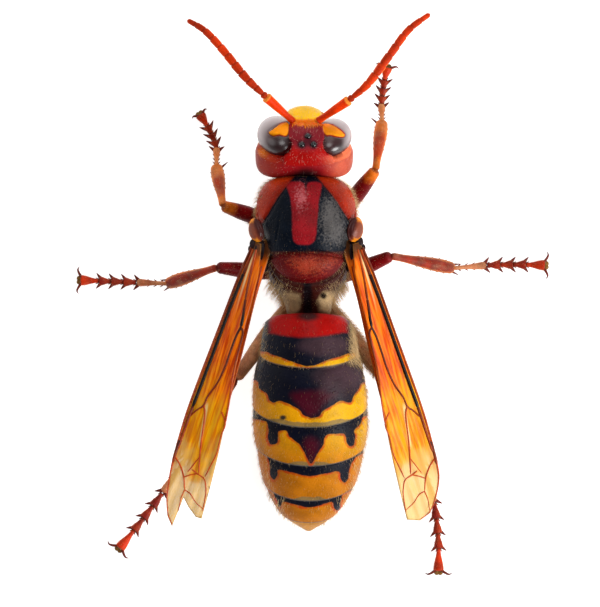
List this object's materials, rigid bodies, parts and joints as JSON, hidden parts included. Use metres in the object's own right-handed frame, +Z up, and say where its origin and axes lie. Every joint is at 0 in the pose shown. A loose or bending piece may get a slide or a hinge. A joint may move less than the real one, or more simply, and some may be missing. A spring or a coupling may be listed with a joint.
{
  "type": "hornet",
  "caption": "Hornet queen standing with legs spread, wings folded back along the banded gaster and antennae raised forward, at life size.",
  "frame": {"origin": "middle of the model's box, at the level of the feet's undersides, z = 0", "axes": "+Z up, -Y the way the insect faces, +X to the insect's left"},
  "size_m": [0.0382, 0.0451, 0.0104],
  "materials": {
    "head": "glossy crimson and orange-red chitin, yellow clypeus",
    "eye": "glossy dark brown compound eye",
    "mandible": "glossy yellow-orange chitin with dark teeth",
    "antenna": "satin rust-orange chitin",
    "thorax": "blue-black chitin with crimson stripes, red collar and scutellum",
    "waist": "dark chitin",
    "gaster": "amber-yellow chitin with maroon-black bands",
    "tegula": "glossy orange-brown chitin",
    "wing": "clear amber membrane with rust veins",
    "leg": "dark crimson to orange-brown chitin",
    "tarsus": "rust-brown chitin with dark spines and claws"
  },
  "bodies": {
    "root": {"thorax": "thorax", "head": "head", "eye_left": "eye", "eye_right": "eye", "mandible_left": "mandible", "mandible_right": "mandible", "antenna_left_scape": "antenna", "antenna_left_flagellum": "antenna", "antenna_right_scape": "antenna", "antenna_right_flagellum": "antenna", "waist": "waist", "gaster_1": "gaster", "gaster_2": "gaster", "gaster_3": "gaster", "gaster_4": "gaster", "gaster_5": "gaster", "gaster_6": "gaster", "tegula_left": "tegula", "wing_fore_left": "wing", "wing_hind_left": "wing", "tegula_right": "tegula", "wing_fore_right": "wing", "wing_hind_right": "wing", "leg_front_left_coxa": "leg", "leg_front_left_femur": "leg", "leg_front_left_tibia": "leg", "leg_front_left_tarsus": "tarsus", "leg_front_right_coxa": "leg", "leg_front_right_femur": "leg", "leg_front_right_tibia": "leg", "leg_front_right_tarsus": "tarsus", "leg_middle_left_coxa": "leg", "leg_middle_left_femur": "leg", "leg_middle_left_tibia": "leg", "leg_middle_left_tarsus": "tarsus", "leg_middle_right_coxa": "leg", "leg_middle_right_femur": "leg", "leg_middle_right_tibia": "leg", "leg_middle_right_tarsus": "tarsus", "leg_hind_left_coxa": "leg", "leg_hind_left_femur": "leg", "leg_hind_left_tibia": "leg", "leg_hind_left_tarsus": "tarsus", "leg_hind_right_coxa": "leg", "leg_hind_right_femur": "leg", "leg_hind_right_tibia": "leg", "leg_hind_right_tarsus": "tarsus"}
  },
  "joints": []
}
